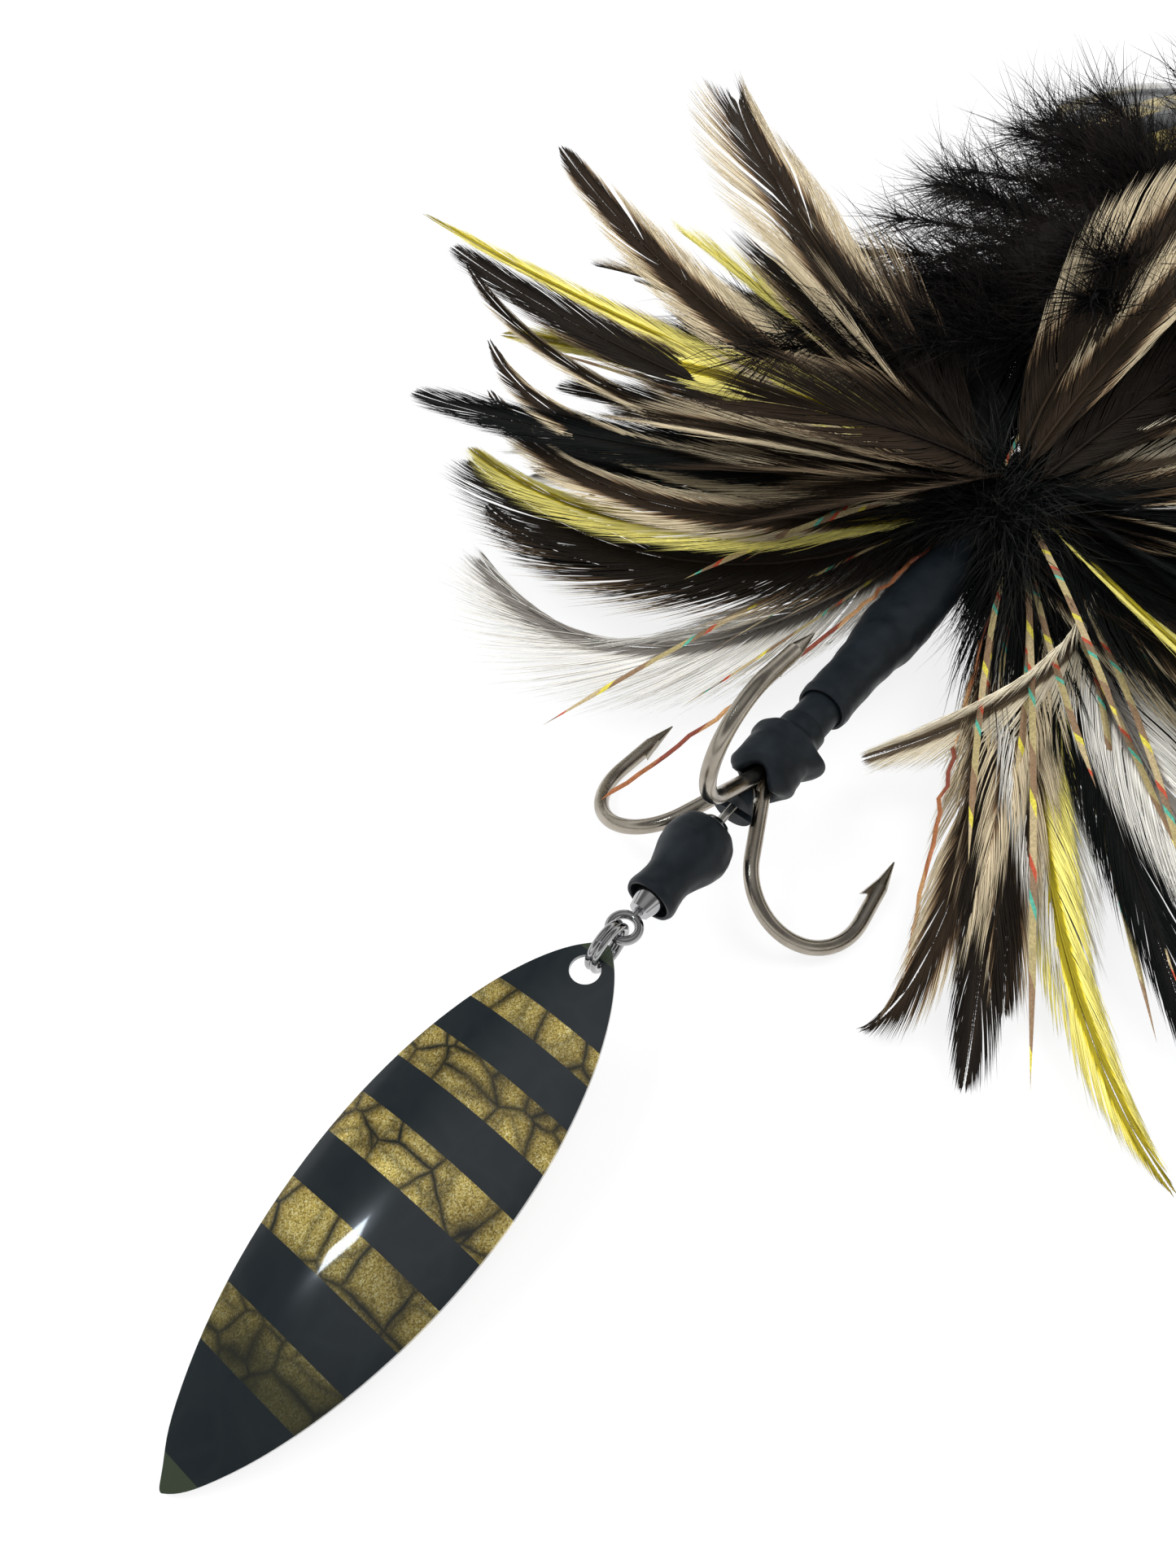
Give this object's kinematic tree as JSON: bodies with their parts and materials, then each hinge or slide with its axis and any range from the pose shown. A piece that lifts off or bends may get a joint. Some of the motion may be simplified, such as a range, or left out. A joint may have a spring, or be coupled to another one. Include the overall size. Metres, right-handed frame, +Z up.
{
  "type": "inline spinner",
  "caption": "Large inline spinner: cupped blades on clevises, weighted body, marabou and hackle collars, sleeved treble hook, and a willow-leaf blade on a ball swivel at the tail.",
  "frame": {"origin": "middle of the lure's box on the surface it lies on", "axes": "+X runs along the shaft to the line tie, +Y is the lure's left, +Z is up from the surface"},
  "size_m": [0.3919, 0.196, 0.0407],
  "materials": {
    "hook_steel": "bronzed, satin",
    "stainless": "bright drawn wire",
    "nickel": "bright nickel plate",
    "shrink_tube": "satin black",
    "rubber": "matt black",
    "hackle": "feather, black with cream, yellow and grey",
    "marabou": "soft black down",
    "thread": "waxed black thread",
    "blade": "gloss black with glittered gold bands",
    "bead": "gloss black",
    "body": "gloss black enamel"
  },
  "bodies": {
    "front_body": {"front_shaft": "stainless", "marabou_former": "shrink_tube", "marabou_wrap": "thread", "marabou_collar": "marabou", "body_weight": "body"},
    "coupler": {"coupler_ring": "nickel"},
    "rear_body": {"rear_shaft": "stainless", "hackle_former": "shrink_tube", "hackle_wrap": "thread", "hackle_collar": "hackle", "shank_tube_inner": "shrink_tube", "shank_tube_outer": "shrink_tube", "treble_double": "hook_steel", "treble_single": "hook_steel", "crotch_pin": "stainless", "crotch_plug": "rubber", "crotch_collar": "rubber"},
    "tail_swivel": {"tail_link": "nickel", "swivel_barrel": "nickel", "swivel_balls": "nickel", "swivel_tube": "shrink_tube"},
    "tail_eye": {"swivel_eye": "nickel"},
    "tail_split_ring": {"tail_ring": "nickel"},
    "tail_leaf": {"tail_blade": "blade"},
    "bead_rear_body": {"bead_rear": "bead"},
    "bead_middle_a_body": {"bead_middle_a": "bead"},
    "bead_middle_b_body": {"bead_middle_b": "bead"},
    "bead_front_body": {"bead_front": "bead"},
    "front_clevis": {"clevis_front": "stainless"},
    "front_ring": {"blade_ring_front": "nickel"},
    "front_blade": {"blade_front": "blade"},
    "rear_clevis": {"clevis_rear": "stainless"},
    "rear_ring": {"blade_ring_rear": "nickel"},
    "rear_blade": {"blade_rear": "blade"}
  },
  "joints": [
    {"name": "coupler_pitch", "type": "hinge", "parent": "front_body", "child": "coupler", "pos_m": [0.02918, 0, 0.01395], "axis": [0, 1, 0], "range_deg": [-30, 30]},
    {"name": "rear_yaw", "type": "hinge", "parent": "coupler", "child": "rear_body", "pos_m": [0.02448, 0, 0.01395], "axis": [0, 0, 1], "range_deg": [-25, 25]},
    {"name": "link_yaw", "type": "hinge", "parent": "rear_body", "child": "tail_swivel", "pos_m": [-0.08612, 0, 0.01395], "axis": [0, 0, 1], "range_deg": [-20, 20]},
    {"name": "swivel_spin", "type": "hinge", "parent": "tail_swivel", "child": "tail_eye", "pos_m": [-0.11082, 0, 0.01395], "axis": [1, 0, 0], "continuous": true},
    {"name": "tail_ring_yaw", "type": "hinge", "parent": "tail_eye", "child": "tail_split_ring", "pos_m": [-0.11427, 0, 0.01395], "axis": [0, 0, 1], "range_deg": [-40, 40]},
    {"name": "tail_blade_pitch", "type": "hinge", "parent": "tail_split_ring", "child": "tail_leaf", "pos_m": [-0.11767, 0, 0.01395], "axis": [0, 1, 0], "range_deg": [-60, 60]},
    {"name": "bead_rear_spin", "type": "hinge", "parent": "front_body", "child": "bead_rear_body", "pos_m": [0.11614, 0, 0.01395], "axis": [1, 0, 0], "continuous": true},
    {"name": "bead_middle_a_spin", "type": "hinge", "parent": "front_body", "child": "bead_middle_a_body", "pos_m": [0.13074, 0, 0.01395], "axis": [1, 0, 0], "continuous": true},
    {"name": "bead_middle_b_spin", "type": "hinge", "parent": "front_body", "child": "bead_middle_b_body", "pos_m": [0.13904, 0, 0.01395], "axis": [1, 0, 0], "continuous": true},
    {"name": "bead_front_spin", "type": "hinge", "parent": "front_body", "child": "bead_front_body", "pos_m": [0.15364, 0, 0.01395], "axis": [1, 0, 0], "continuous": true},
    {"name": "front_clevis_spin", "type": "hinge", "parent": "front_body", "child": "front_clevis", "pos_m": [0.14634, 0, 0.01395], "axis": [1, 0, 0], "continuous": true},
    {"name": "front_ring_swing", "type": "hinge", "parent": "front_clevis", "child": "front_ring", "pos_m": [0.14634, 0.00649, 0.0102], "axis": [1, 0, 0], "range_deg": [-25, 25]},
    {"name": "front_blade_swing", "type": "hinge", "parent": "front_ring", "child": "front_blade", "pos_m": [0.14634, 0.0126, 0.0091], "axis": [0, 0, 1], "range_deg": [-10, 45]},
    {"name": "rear_clevis_spin", "type": "hinge", "parent": "front_body", "child": "rear_clevis", "pos_m": [0.12344, 0, 0.01395], "axis": [1, 0, 0], "continuous": true},
    {"name": "rear_ring_swing", "type": "hinge", "parent": "rear_clevis", "child": "rear_ring", "pos_m": [0.12344, -0.00649, 0.0102], "axis": [1, 0, 0], "range_deg": [-25, 25]},
    {"name": "rear_blade_swing", "type": "hinge", "parent": "rear_ring", "child": "rear_blade", "pos_m": [0.12344, -0.0126, 0.0091], "axis": [0, 0, 1], "range_deg": [-10, 45]}
  ]
}
